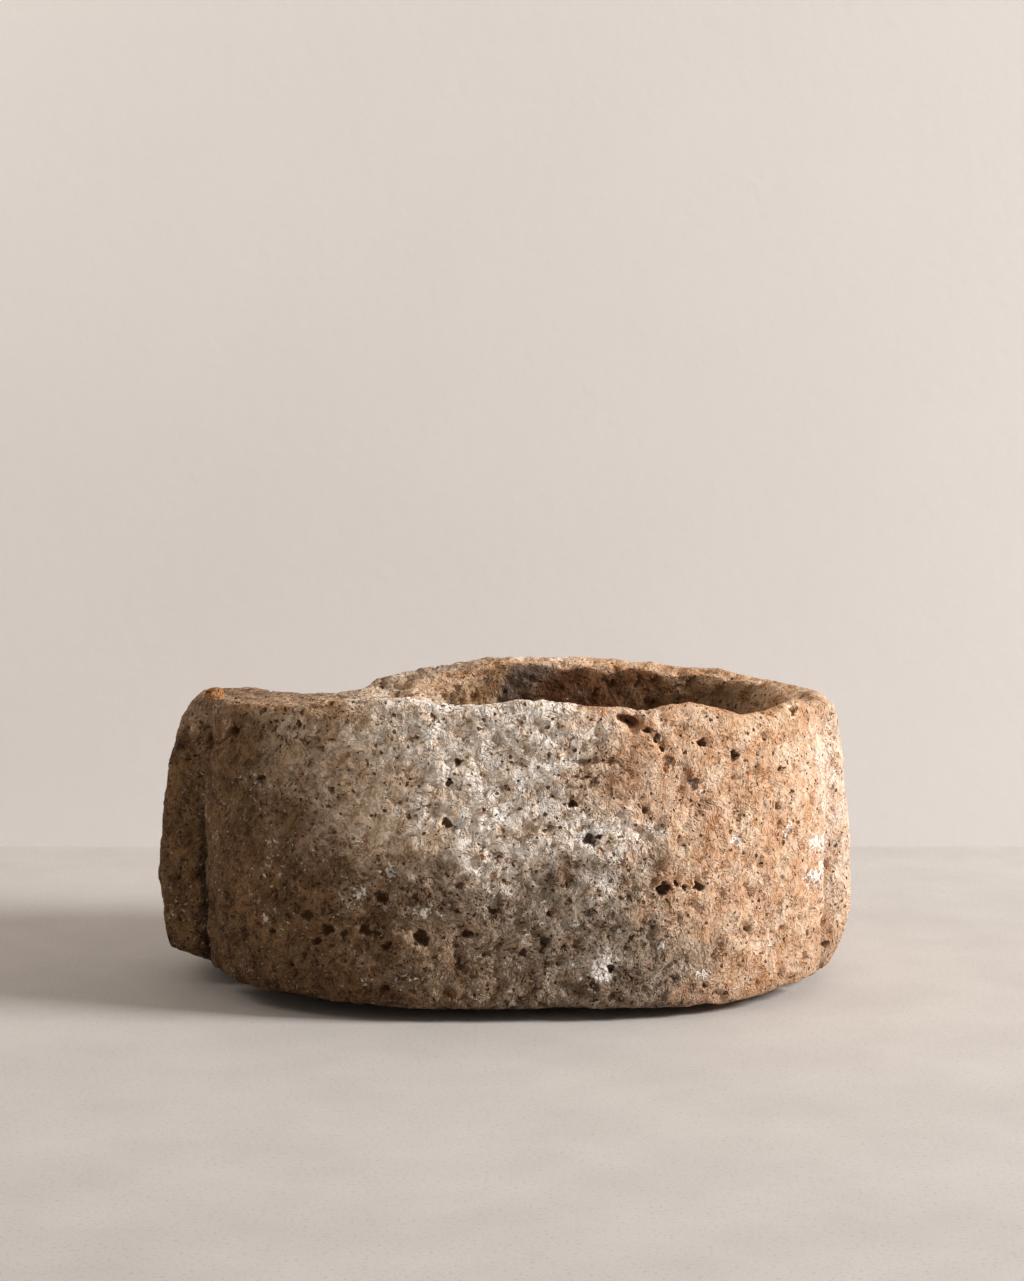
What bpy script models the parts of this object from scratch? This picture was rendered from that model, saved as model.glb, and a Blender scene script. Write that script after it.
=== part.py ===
"""Limestone vessel, hewn from one block.

A low oblong basin of porous shell limestone. The basin is cut off centre, so the left end
stays a broad solid ledge, while the other walls are about two fingers thick. A lug stands
proud of each end, set off from the front and back panels by upright grooves. The block
stands on a dressed pad, and its lower edge is lifted clear of the ground all round.

Metres, +Z up, front towards -Y. The origin is the middle of the block's box, on the ground.
"""

import math

import bmesh
import bpy
from mathutils import Vector, noise

# Driving dimensions. LENGTH and the right wall are taken to the faces of the end lugs
LENGTH = 0.568
DEPTH = 0.372
HEIGHT = 0.2487
FRONT_WALL = 0.045
BACK_WALL = 0.042
RIGHT_WALL = 0.053
LEDGE_LENGTH = 0.163
FLOOR_THICKNESS = 0.078

# End lugs and the grooves beside them
LEFT_LUG_PROJECTION = 0.031
RIGHT_LUG_PROJECTION = 0.0185
LUG_WIDTH = 0.150
LUG_SHIFT = 0.004
LUG_SHOULDER = 0.032
GROOVE_WIDTH = 0.010
LEFT_GROOVE_DEPTH = 0.016
RIGHT_GROOVE_DEPTH = 0.011
REAR_GROOVE_DEPTH = 0.008

# Underside: the dressed pad is flat, and the edge round it is lifted
PAD_SHARE = 0.74
LOWER_LIFT = 0.027
LOWER_ROUND = 0.007

# Rim and basin
OUTER_RIM_ROUND = 0.022
INNER_RIM_ROUND = 0.026
INNER_RIM_DROP = 0.006
NARROW_RIM_SLOPE_SHARE = 0.35
WORN_SPREAD = math.radians(15)
ROUND_LIMIT_SHARE = 0.42
BASIN_BATTER = 0.055
BASIN_FILLET = 0.030

# Knob of harder stone on top of the left lug
KNOB_RADIUS = 0.0100
KNOB_RISE = 0.0065
KNOB_SETBACK = 0.019
KNOB_FORWARD = 0.050

# Natural cavity under the front rim
CAVITY_HALF_WIDTH = 0.012
CAVITY_HALF_HEIGHT = 0.0055
CAVITY_DEPTH = 0.020
CAVITY_BELOW_RIM = 0.0090
CAVITY_ALONG = 0.101
CAVITY_TILT = math.radians(24)

# Rough hewing: broad swells and the hollows that the point chisel left
SWELL_PITCH = 0.110
SWELL_DEPTH = 0.0040
CHISEL_PITCH = 0.034
CHISEL_DEPTH = 0.0030

# How finely the block is cut into faces
AROUND = 144
OUTLINE_SAMPLES = 1440
TURN_WEIGHT = 0.050
RISE_WEIGHT = 2
WALL_RINGS = 12
TOP_RINGS = 4
BASIN_RINGS = 6
FILLET_RINGS = 3
ROUND_RINGS = 3

# Each table below goes round the block by bearing in degrees: 0 right, 90 back, 180 left, 270 front.
# Exponents of the block's and the basin's rounded rectangles in plan: 2 is an ellipse, more is squarer
OUTLINE_EXPONENTS = ((0, 2.7), (45, 3.2), (135, 2.4), (225, 2.7), (315, 2.5))
BASIN_EXPONENTS = ((0, 2.7), (60, 2.7), (135, 3.6), (210, 2.7))
# Shares of HEIGHT that the top edge reaches
RIM_SHARES = (
    (0, 0.932), (12, 0.926), (22, 0.933), (33, 0.941), (38, 0.960), (46, 0.966), (53, 0.981), (66, 0.989),
    (80, 0.989), (89, 0.997), (97, 0.981), (106, 0.963), (113, 0.951), (121, 0.936), (125, 0.930),
    (127.5, 0.880), (138, 0.866), (147, 0.874), (160, 0.918), (170, 0.936), (190, 0.950), (203, 0.958),
    (218, 0.964), (232, 0.989), (242, 0.998), (254, 0.980), (267, 0.994), (276, 0.999), (285, 0.988),
    (293, 0.970), (299, 0.972), (303, 0.961), (307, 0.980), (315, 0.988), (319, 0.968), (324, 0.938),
    (331, 0.948), (340, 0.955), (350, 0.948),
)
# Shares of LOWER_LIFT by which the lower edge clears the ground
LIFT_SHARES = (
    (0, 0.42), (20, 0.36), (90, 0.32), (130, 0.45), (156, 0.70), (166, 1.0), (195, 1.0), (198, 0.72),
    (217, 0.67), (231, 0.57), (246, 0.45), (267, 0.42), (300, 0.40), (309, 0.36), (321, 0.22), (333, 0.40),
    (341, 0.55), (350, 0.42),
)
# Shares of OUTER_RIM_ROUND
OUTER_ROUND_SHARES = (
    (0, 0.60), (25, 0.45), (50, 0.35), (120, 0.35), (150, 0.30), (165, 0.20), (225, 0.20), (300, 0.25),
    (318, 0.40), (332, 0.80),
)
# Shares of INNER_RIM_ROUND
INNER_ROUND_SHARES = (
    (0, 0.50), (60, 0.45), (95, 0.55), (110, 1.0), (130, 0.90), (150, 0.55), (215, 0.50), (245, 0.30),
    (300, 0.25), (330, 0.50),
)
# Shares of BASIN_BATTER
BASIN_BATTER_SHARES = ((0, 0.35), (80, 0.40), (125, 0.65), (165, 1.0), (200, 1.0), (240, 0.45), (330, 0.35))

# Each table below goes up the block by share of its height.
# How far out the side stands, as a share of its widest
BATTER_SHARES = (
    (0.0, 0.970), (0.12, 0.987), (0.35, 1.0), (0.55, 0.997), (0.75, 0.984), (0.90, 0.966), (1.0, 0.950),
)
# How much of the lug's projection stands proud
LEFT_LUG_SHARES = (
    (0.0, 0.80), (0.10, 0.86), (0.15, 0.97), (0.45, 1.0), (0.70, 0.88), (0.88, 0.66), (1.0, 0.02),
)
RIGHT_LUG_SHARES = ((0.0, 0.0), (0.10, 0.45), (0.20, 0.95), (0.35, 1.0), (0.70, 0.80), (1.0, 0.86))
# How deep each groove is cut
LEFT_GROOVE_SHARES = (
    (0.0, 1.0), (0.40, 0.85), (0.55, 0.35), (0.72, 0.40), (0.82, 1.0), (0.90, 0.45), (1.0, 0.3),
)
RIGHT_GROOVE_SHARES = ((0.0, 1.0), (0.35, 0.9), (0.58, 0.15), (1.0, 0.0))
REAR_GROOVE_SHARES = ((0.0, 0.7), (0.5, 1.0), (0.85, 0.4), (1.0, 0.1))

STONE_COLOUR = (0.48, 0.37, 0.27, 1.0)
STONE_ROUGHNESS = 0.92


def smooth_step(low, high, value):
    """0 below low, 1 above high, and an even S curve between."""
    share = min(1.0, max(0.0, (value - low) / (high - low)))
    return share * share * (3 - 2 * share)


def table_at(table, position):
    """The value at position in a table of (position, value) pairs, eased between them."""
    if position <= table[0][0]:
        return table[0][1]
    for (low, before), (high, after) in zip(table, table[1:]):
        if position <= high:
            return before + (after - before) * smooth_step(low, high, position)
    return table[-1][1]


def round_table_at(table, bearing):
    """The value at a bearing in radians in a table that goes round the block and meets its start again."""
    whole_turn = 360
    return table_at(table + ((whole_turn, table[0][1]),), math.degrees(bearing) % whole_turn)


def rounded_rectangle(bearing, half_length, half_depth, exponent):
    """Distance from the middle to a superellipse at a bearing."""
    across = abs(math.cos(bearing) / half_length) ** exponent
    along = abs(math.sin(bearing) / half_depth) ** exponent
    return (across + along) ** (-1 / exponent)


def outline_point(bearing, share):
    """Point of the block's side at a bearing, at a share of the height."""
    on_right = math.cos(bearing) > 0
    projection = RIGHT_LUG_PROJECTION if on_right else LEFT_LUG_PROJECTION
    half_length = LENGTH / 2 - projection
    exponent = round_table_at(OUTLINE_EXPONENTS, bearing)
    reach = rounded_rectangle(bearing, half_length, DEPTH / 2, exponent)
    reach *= table_at(BATTER_SHARES, share)
    across = reach * math.sin(bearing)
    if abs(math.cos(bearing)) * reach > half_length / 2:
        off_centre = abs(across - LUG_SHIFT)
        lug = 1 - smooth_step(LUG_WIDTH / 2 - LUG_SHOULDER, LUG_WIDTH / 2, off_centre)
        lug_shares = RIGHT_LUG_SHARES if on_right else LEFT_LUG_SHARES
        reach += projection * lug * table_at(lug_shares, share)
        reach -= groove_depth(across, on_right, share)
    return Vector((reach * math.cos(bearing), reach * math.sin(bearing), 0))


def groove_depth(across, on_right, share):
    """Depth of the upright groove at a distance across the block's end."""
    front_line = LUG_SHIFT - (LUG_WIDTH - GROOVE_WIDTH) / 2
    rear_line = LUG_SHIFT + (LUG_WIDTH - GROOVE_WIDTH) / 2
    front = math.exp(-(((across - front_line) / (GROOVE_WIDTH / 2)) ** 2))
    rear = math.exp(-(((across - rear_line) / (GROOVE_WIDTH / 2)) ** 2))
    if on_right:
        front_cut = RIGHT_GROOVE_DEPTH * table_at(RIGHT_GROOVE_SHARES, share)
    else:
        front_cut = LEFT_GROOVE_DEPTH * table_at(LEFT_GROOVE_SHARES, share)
    rear_cut = REAR_GROOVE_DEPTH * table_at(REAR_GROOVE_SHARES, share)
    return front * front_cut + rear * rear_cut


def basin_limits():
    """How far the basin's mouth reaches to the left, right, front and back."""
    left = -LENGTH / 2 + LEDGE_LENGTH
    right = LENGTH / 2 - RIGHT_WALL
    front = -DEPTH / 2 + FRONT_WALL
    back = DEPTH / 2 - BACK_WALL
    return left, right, front, back


def basin_middle():
    """Middle of the basin in plan."""
    left, right, front, back = basin_limits()
    return Vector(((left + right) / 2, (front + back) / 2, 0))


def basin_point(bearing, inset):
    """Point of the basin's wall at a bearing from the basin's middle, drawn in from its mouth."""
    left, right, front, back = basin_limits()
    exponent = round_table_at(BASIN_EXPONENTS, bearing)
    reach = rounded_rectangle(bearing, (right - left) / 2, (back - front) / 2, exponent) - inset
    return basin_middle() + Vector((reach * math.cos(bearing), reach * math.sin(bearing), 0))


def bearings():
    """Bearings spaced by the outline's length, its turning and the rise of its rim, for even facets."""
    step = 2 * math.pi / OUTLINE_SAMPLES
    points = [outline_point(i * step, 0.3) for i in range(OUTLINE_SAMPLES)]
    travelled = [0.0]
    for i in range(OUTLINE_SAMPLES):
        before, here, after = points[i - 1], points[i], points[(i + 1) % OUTLINE_SAMPLES]
        turn = (after - here).angle(here - before)
        rim, next_rim = (round_table_at(RIM_SHARES, bearing * step) for bearing in (i, i + 1))
        rise = HEIGHT * abs(next_rim - rim)
        run = (after - here).length + LENGTH * TURN_WEIGHT * turn + RISE_WEIGHT * rise
        travelled.append(travelled[-1] + run)
    found = []
    at = 0
    for k in range(AROUND):
        wanted = travelled[-1] * k / AROUND
        while travelled[at + 1] < wanted:
            at += 1
        part = (wanted - travelled[at]) / (travelled[at + 1] - travelled[at])
        found.append((at + part) * step)
    return found


def section(bearing):
    """The block's section at a bearing, from the underside's middle over the rim to the basin's middle.

    Each entry is a point and how much of the rough hewing it takes.
    """
    top = HEIGHT * round_table_at(RIM_SHARES, bearing)
    lift = LOWER_LIFT * round_table_at(LIFT_SHARES, bearing)
    batter = BASIN_BATTER * round_table_at(BASIN_BATTER_SHARES, bearing)
    crest = outline_point(bearing, top / HEIGHT)
    outwards = crest.normalized()
    middle = basin_middle()
    facing = math.atan2(crest.y - middle.y, crest.x - middle.x)
    wall = (crest - basin_point(facing, 0)).length
    round_limit = ROUND_LIMIT_SHARE * wall
    outer_round = min(round_limit, OUTER_RIM_ROUND * round_table_at(OUTER_ROUND_SHARES, bearing))
    inner_round = min(round_limit, INNER_RIM_ROUND * round_table_at(INNER_ROUND_SHARES, bearing))
    line = []

    def add(place, height, amount):
        line.append((Vector((place.x, place.y, height)), amount))

    foot = outline_point(bearing, 0)
    for share in (PAD_SHARE * 0.4, PAD_SHARE * 0.75, PAD_SHARE):
        add(foot * share, 0, 0)
    add(foot * (1 + PAD_SHARE) / 2, lift * 0.55, 0.4)
    for turn in quarter_turn(ROUND_RINGS):
        height = lift + LOWER_ROUND * (1 - math.cos(turn))
        side = outline_point(bearing, height / HEIGHT)
        add(side - outwards * LOWER_ROUND * (1 - math.sin(turn)), height, 0.8)
    low, high = lift + LOWER_ROUND, top - outer_round
    for share in even_shares(WALL_RINGS):
        height = low + (high - low) * share
        add(outline_point(bearing, height / HEIGHT), height, 1)
    for turn in quarter_turn(ROUND_RINGS):
        place = crest - outwards * outer_round * (1 - math.cos(turn))
        add(place, high + outer_round * math.sin(turn), 0.5)
    outer = crest - outwards * outer_round
    inner = basin_point(facing, -inner_round)
    land = (outer - inner).length
    brink = worn_rim(bearing, wall) - min(INNER_RIM_DROP, land * NARROW_RIM_SLOPE_SHARE)
    for share in even_shares(TOP_RINGS):
        add(outer.lerp(inner, share), top + (brink - top) * smooth_step(0, 1, share), 0.5)
    for turn in quarter_turn(ROUND_RINGS):
        place = basin_point(facing, -inner_round * (1 - math.sin(turn)))
        add(place, brink - inner_round * (1 - math.cos(turn)), 0.6)
    mouth, bottom = brink - inner_round, FLOOR_THICKNESS + BASIN_FILLET
    for share in even_shares(BASIN_RINGS):
        add(basin_point(facing, batter * share), mouth + (bottom - mouth) * share, 0.9)
    for turn in quarter_turn(FILLET_RINGS):
        place = basin_point(facing, batter + BASIN_FILLET * (1 - math.cos(turn)))
        add(place, bottom - BASIN_FILLET * math.sin(turn), 0.5)
    edge = basin_point(facing, batter + BASIN_FILLET)
    for share in (0, 0.35, 0.70):
        add(edge.lerp(middle, share), FLOOR_THICKNESS, 0)
    return line


def worn_rim(bearing, wall):
    """Height of the rim beside the basin, where wear has evened out the ups and downs of a broad rim."""
    spread = WORN_SPREAD * smooth_step(BACK_WALL, LEDGE_LENGTH, wall)
    nearby = [round_table_at(RIM_SHARES, bearing + spread * k / 3) for k in range(-3, 4)]
    return HEIGHT * sum(nearby) / len(nearby)


def quarter_turn(count):
    """Angles through a right angle, half a step in from each end."""
    return [math.pi / 2 * share for share in even_shares(count)]


def even_shares(count):
    """Even shares between 0 and 1, half a step in from each end."""
    return [(i + 0.5) / count for i in range(count)]


def loft(name, sections, first, last):
    """A closed body through upright sections, whose ends close on a point below and a point above."""
    bm = bmesh.new()
    rows = [[bm.verts.new(point) for point, _ in line] for line in sections]
    below, above = bm.verts.new(first), bm.verts.new(last)
    for here, after in zip(rows, rows[1:] + rows[:1]):
        bm.faces.new((below, after[0], here[0]))
        for low, high, next_high, next_low in zip(here, here[1:], after[1:], after):
            bm.faces.new((low, next_low, next_high, high))
        bm.faces.new((here[-1], after[-1], above))
    bm.normal_update()
    rough = [amount for line in sections for _, amount in line] + [0, 0]
    moves = [hewing(v.co, v.normal) * amount for v, amount in zip(bm.verts, rough)]
    for vert, move in zip(bm.verts, moves):
        vert.co += move
    bmesh.ops.triangulate(bm, faces=bm.faces[:], quad_method="BEAUTY")
    mesh = bpy.data.meshes.new(name)
    bm.to_mesh(mesh)
    bm.free()
    return mesh


def hewing(point, normal):
    """How far rough hewing moves a point of the surface."""
    swell = noise.noise(point / SWELL_PITCH) * SWELL_DEPTH
    chisel = noise.noise(point / CHISEL_PITCH + Vector((5.3, 2.1, 7.7))) * CHISEL_DEPTH
    return normal * (swell + chisel)


def boulder(name, radii, lump):
    """A closed lumpy ball with three radii, for the knob and for the cavity's cutter."""
    bm = bmesh.new()
    bmesh.ops.create_icosphere(bm, subdivisions=2, radius=1)
    for vert in bm.verts:
        vert.co *= 1 + lump * noise.noise(vert.co * 1.7)
        vert.co = Vector((vert.co.x * radii[0], vert.co.y * radii[1], vert.co.z * radii[2]))
    mesh = bpy.data.meshes.new(name)
    bm.to_mesh(mesh)
    bm.free()
    return bpy.data.objects.new(name, mesh)


def join_or_cut(block, tool, operation):
    """Adds a Boolean modifier with a hidden tool to the block."""
    tool.hide_render = True
    tool.display_type = "WIRE"
    modifier = block.modifiers.new(tool.name, "BOOLEAN")
    modifier.operation = operation
    modifier.object = tool


def limestone():
    """Porous shell limestone, weathered ochre and grey."""
    material = bpy.data.materials.new("limestone")
    material.use_nodes = True
    surface = material.node_tree.nodes["Principled BSDF"]
    surface.inputs["Base Color"].default_value = STONE_COLOUR
    surface.inputs["Roughness"].default_value = STONE_ROUGHNESS
    surface.inputs["Metallic"].default_value = 0
    return material


def centred(mesh):
    """Moves the mesh so that the middle of its box is over the origin. Returns how far it moved."""
    lows = [min(v.co[axis] for v in mesh.vertices) for axis in (0, 1)]
    highs = [max(v.co[axis] for v in mesh.vertices) for axis in (0, 1)]
    shift = Vector((-(lows[0] + highs[0]) / 2, -(lows[1] + highs[1]) / 2, 0))
    for vert in mesh.vertices:
        vert.co += shift
    return shift


def main():
    for obj in list(bpy.data.objects):
        bpy.data.objects.remove(obj)
    parts = bpy.data.collections.new("limestone_vessel")
    cutters = bpy.data.collections.new("tools")
    bpy.context.scene.collection.children.link(parts)
    bpy.context.scene.collection.children.link(cutters)

    floor_middle = basin_middle() + Vector((0, 0, FLOOR_THICKNESS))
    mesh = loft("stone_vessel", [section(b) for b in bearings()], Vector((0, 0, 0)), floor_middle)
    shift = centred(mesh)
    mesh.materials.append(limestone())
    vessel = bpy.data.objects.new("stone_vessel", mesh)
    parts.objects.link(vessel)

    knob = boulder("knob", (KNOB_RADIUS, KNOB_RADIUS, KNOB_RADIUS), 0.3)
    ledge_top = HEIGHT * round_table_at(RIM_SHARES, math.pi)
    end = outline_point(math.pi, ledge_top / HEIGHT)
    knob_height = ledge_top + KNOB_RISE - KNOB_RADIUS / 2
    knob.location = shift + Vector((end.x + KNOB_SETBACK, -KNOB_FORWARD, knob_height))
    cutters.objects.link(knob)
    join_or_cut(vessel, knob, "UNION")

    cavity = boulder("cavity", (CAVITY_HALF_WIDTH, CAVITY_DEPTH, CAVITY_HALF_HEIGHT), 0.35)
    bearing = math.atan2(-DEPTH / 2, CAVITY_ALONG)
    rim = HEIGHT * round_table_at(RIM_SHARES, bearing)
    side = outline_point(bearing, (rim - CAVITY_BELOW_RIM) / HEIGHT)
    cavity.location = shift + Vector((side.x, side.y, rim - CAVITY_BELOW_RIM))
    cavity.rotation_euler = (0, CAVITY_TILT, 0)
    cutters.objects.link(cavity)
    join_or_cut(vessel, cavity, "DIFFERENCE")


main()
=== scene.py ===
"""Looks of the limestone vessel: weathered shell limestone on a pale floor in front of a plaster wall."""

import math

import bmesh
import bpy
import numpy as np
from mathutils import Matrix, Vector


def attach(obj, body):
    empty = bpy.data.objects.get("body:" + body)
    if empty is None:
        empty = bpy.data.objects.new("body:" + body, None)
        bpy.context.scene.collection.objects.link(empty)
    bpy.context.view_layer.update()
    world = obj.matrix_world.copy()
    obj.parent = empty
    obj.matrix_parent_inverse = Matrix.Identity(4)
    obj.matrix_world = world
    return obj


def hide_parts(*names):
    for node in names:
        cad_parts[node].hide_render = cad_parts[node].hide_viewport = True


MM = 0.001
# Kinds of node. Sockets go by number: a Map Range has its value at 0, its range at 1 and 2 and its results at
# 3 and 4, and a Mix of colours has its amount at 0 and its colours at 6 and 7
MATH = "ShaderNodeMath"
VECTOR = "ShaderNodeVectorMath"
NOISE = "ShaderNodeTexNoise"
CELLS = "ShaderNodeTexVoronoi"
RANGE = "ShaderNodeMapRange"
MIX = "ShaderNodeMix"
SPLIT = "ShaderNodeSeparateXYZ"
# The value about which a noise varies
MIDDLE = 0.5

# The camera of the photograph: its frame's height and focal length in mm, its place and its tilt
SENSOR_HEIGHT = 36
LENS = 75.9
CAMERA_PLACE = (0.0056, -2.214, 0.4945)
CAMERA_TILT = math.radians(5.6)

# Lamps: name, place, target, width, height, watts, colour and the width of the cone in degrees
LAMPS = (
    ("key", (4.88, -1.1, 2.75), (0, 0, 0.12), 1.75, 1.45, 104, "#fdfdfe", 90),
    ("backdrop", (-1.5, -0.5, 1.5), (-0.7, 0.6, 1.7), 1.2, 1.0, 13, "#fff6ec", 180),
)
# The light that comes from all round, and the studio's far side as a camera sees it: colour and strength
FILL = ("#fff4ea", 0.28)
FAR_SIDE = ("#dcd5cd", 1.0)

# Stage: how far the wall is behind the middle of the floor, half the floor's width, and the tones of both
WALL_BEHIND = 0.60
STAGE_HALF = 6.0
CONCRETE_TONES = ("#c1bbb5", "#cac4be")
PLASTER_TONES = ("#e4dfdb", "#eae6e3")

# The stone's mesh: points nearer than this are one, its smoothing steps, its even grid and its most triangles
MERGE_REACH = 1e-6
SMOOTHING = 2
VOXEL = 1.5 * MM
MOST_TRIANGLES = 194000


def linear(code):
    """An sRGB hex colour as linear RGBA, by the curve of the sRGB standard."""
    parts = [int(code[i:i + 2], 16) / 255 for i in (1, 3, 5)]
    return [c / 12.92 if c <= 0.04045 else ((c + 0.055) / 1.055) ** 2.4 for c in parts] + [1.0]


def add(tree, kind, inputs=None, output=0, **settings):
    """Adds a node with its settings and links, and returns one of its outputs."""
    made = tree.nodes.new(kind)
    for name, value in settings.items():
        setattr(made, name, value)
    for key, value in (inputs or {}).items():
        if isinstance(value, bpy.types.NodeSocket):
            tree.links.new(value, made.inputs[key])
        else:
            made.inputs[key].default_value = value
    return made.outputs[output]


def sized(spacing, detail, rough=0.5):
    """What a noise takes so that its lumps are this far apart, in metres."""
    return {"Scale": 1 / spacing, "Detail": detail, "Roughness": rough}


def camera():
    """The camera at the photograph's angle."""
    data = bpy.data.cameras.new("camera")
    data.sensor_fit = "VERTICAL"
    data.sensor_height = SENSOR_HEIGHT
    data.lens = LENS
    made = bpy.data.objects.new("camera", data)
    made.location = CAMERA_PLACE
    made.rotation_euler = (math.pi / 2 - CAMERA_TILT, 0, 0)
    bpy.context.scene.collection.objects.link(made)
    bpy.context.scene.camera = made


def lamp(name, place, target, width, height, watts, tint, spread):
    """A soft rectangular lamp that points at a target and shines into a cone this many degrees wide."""
    data = bpy.data.lights.new(name, "AREA")
    data.shape = "RECTANGLE"
    data.size = width
    data.size_y = height
    data.energy = watts
    data.color = linear(tint)[:3]
    data.spread = math.radians(spread)
    made = bpy.data.objects.new(name, data)
    made.location = place
    made.rotation_euler = (Vector(target) - Vector(place)).to_track_quat("-Z", "Y").to_euler()
    bpy.context.scene.collection.objects.link(made)


def lights():
    """A soft key lamp at the right, a weak one on the wall's left part and a warm fill from all round."""
    for row in LAMPS:
        lamp(*row)
    world = bpy.data.worlds.new("studio")
    bpy.context.scene.world = world
    world.use_nodes = True
    tree = world.node_tree
    tree.nodes.clear()
    rays = add(tree, "ShaderNodeLightPath").node.outputs
    seen = add(tree, MATH, {0: rays["Is Camera Ray"], 1: rays["Is Glossy Ray"]}, operation="MAXIMUM")
    seen = add(tree, MATH, {0: seen, 1: rays["Is Transmission Ray"]}, operation="MAXIMUM")
    fill = add(tree, "ShaderNodeBackground", {"Color": linear(FILL[0]), "Strength": FILL[1]})
    shown = add(tree, "ShaderNodeBackground", {"Color": linear(FAR_SIDE[0]), "Strength": FAR_SIDE[1]})
    mixed = add(tree, "ShaderNodeMixShader", {0: seen, 1: fill, 2: shown})
    tree.links.new(mixed, tree.nodes.new("ShaderNodeOutputWorld").inputs[0])


def plane(name, corners, material):
    """A flat four-cornered piece of the stage."""
    mesh = bpy.data.meshes.new(name)
    mesh.from_pydata(corners, [], [(0, 1, 2, 3)])
    mesh.materials.append(material)
    made = bpy.data.objects.new(name, mesh)
    bpy.context.scene.collection.objects.link(made)


def tinted(tree, amount, below, above, mode="MIX"):
    """One colour over another by an amount. Each is a hex colour or a socket."""
    below = linear(below) if isinstance(below, str) else below
    above = linear(above) if isinstance(above, str) else above
    return add(tree, MIX, {0: amount, 6: below, 7: above}, 2, data_type="RGBA", blend_type=mode)


def finished(tree, shader, tone, bump, roughness, specular):
    """Feeds a material's shader with its colour, its bump, its roughness and its faint shine."""
    tree.links.new(tone, shader.inputs["Base Color"])
    tree.links.new(bump, shader.inputs["Normal"])
    shader.inputs["Roughness"].default_value = roughness
    shader.inputs["Specular IOR Level"].default_value = specular


def concrete(tree, shader):
    """Poured concrete, floated smooth and left bare: faint clouds, fine sand pits and hardly any shine.

    The sand pits of real concrete are about a millimetre wide. They are drawn at 3 mm so that they show.
    """
    place = add(tree, "ShaderNodeTexCoord", output="Object")
    cloud = add(tree, NOISE, {"Vector": place, **sized(90 * MM, 5.0, 0.6)})
    grit = add(tree, NOISE, {"Vector": place, **sized(3 * MM, 3.0)})
    blend = add(tree, RANGE, {0: cloud, 1: 0.3, 2: 0.7})
    specks = add(tree, RANGE, {0: grit, 1: 0.33, 2: 0.44, 3: 0.86, 4: 1.0})
    tone = tinted(tree, 1.0, tinted(tree, blend, *CONCRETE_TONES), specks, "MULTIPLY")
    bump = add(tree, "ShaderNodeBump", {"Strength": 0.3, "Distance": 0.4 * MM, "Height": grit})
    finished(tree, shader, tone, bump, roughness=0.75, specular=0.25)


def plaster(tree, shader):
    """Lime plaster, put on with a trowel and left matt: an almost even warm white with faint trowel waves.

    It is clear from behind, for a camera there.
    """
    place = add(tree, "ShaderNodeTexCoord", output="Object")
    cloud = add(tree, NOISE, {"Vector": place, **sized(250 * MM, 6.0, 0.55)})
    trowel = add(tree, NOISE, {"Vector": place, **sized(14 * MM, 4.0)})
    bump = add(tree, "ShaderNodeBump", {"Strength": 0.25, "Distance": 1.0 * MM, "Height": trowel})
    finished(tree, shader, tinted(tree, cloud, *PLASTER_TONES), bump, roughness=0.9, specular=0.2)
    behind = add(tree, "ShaderNodeNewGeometry", output="Backfacing")
    clear = add(tree, "ShaderNodeBsdfTransparent")
    shown = add(tree, "ShaderNodeMixShader", {0: behind, 1: shader.outputs[0], 2: clear})
    tree.links.new(shown, tree.nodes["Material Output"].inputs[0])


def surface(name, fill):
    """A new material. fill(tree, shader) adds the nodes that feed its Principled shader."""
    made = bpy.data.materials.new(name)
    made.use_nodes = True
    tree = made.node_tree
    fill(tree, tree.nodes["Principled BSDF"])
    return made


def floor_and_wall():
    """Pale concrete floor and, behind the vessel, a plaster wall that a camera behind it looks through."""
    half, back = STAGE_HALF, WALL_BEHIND
    ground = [(-half, -half, 0), (half, -half, 0), (half, half, 0), (-half, half, 0)]
    upright = [(-half, back, 0), (half, back, 0), (half, back, half), (-half, back, half)]
    plane("floor", ground, surface("concrete", concrete))
    plane("wall", upright, surface("plaster", plaster))


def evened(source):
    """A closed even mesh of a CAD node, its facets smoothed away, ready for the stone's relief."""
    mesh = source.data.copy()
    bm = bmesh.new()
    bm.from_mesh(mesh)
    bmesh.ops.remove_doubles(bm, verts=bm.verts[:], dist=MERGE_REACH)
    bm.to_mesh(mesh)
    bm.free()
    body = bpy.data.objects.new("stone_block", mesh)
    bpy.context.scene.collection.objects.link(body)
    smooth = body.modifiers.new("smooth", "SUBSURF")
    smooth.levels = smooth.render_levels = SMOOTHING
    even = body.modifiers.new("even", "REMESH")
    even.mode = "VOXEL"
    even.voxel_size = VOXEL
    return body


def applied(body):
    """Turns an object's modifiers into its mesh."""
    ready = body.evaluated_get(bpy.context.evaluated_depsgraph_get())
    mesh = bpy.data.meshes.new_from_object(ready)
    body.modifiers.clear()
    body.data = mesh
    return body


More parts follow.
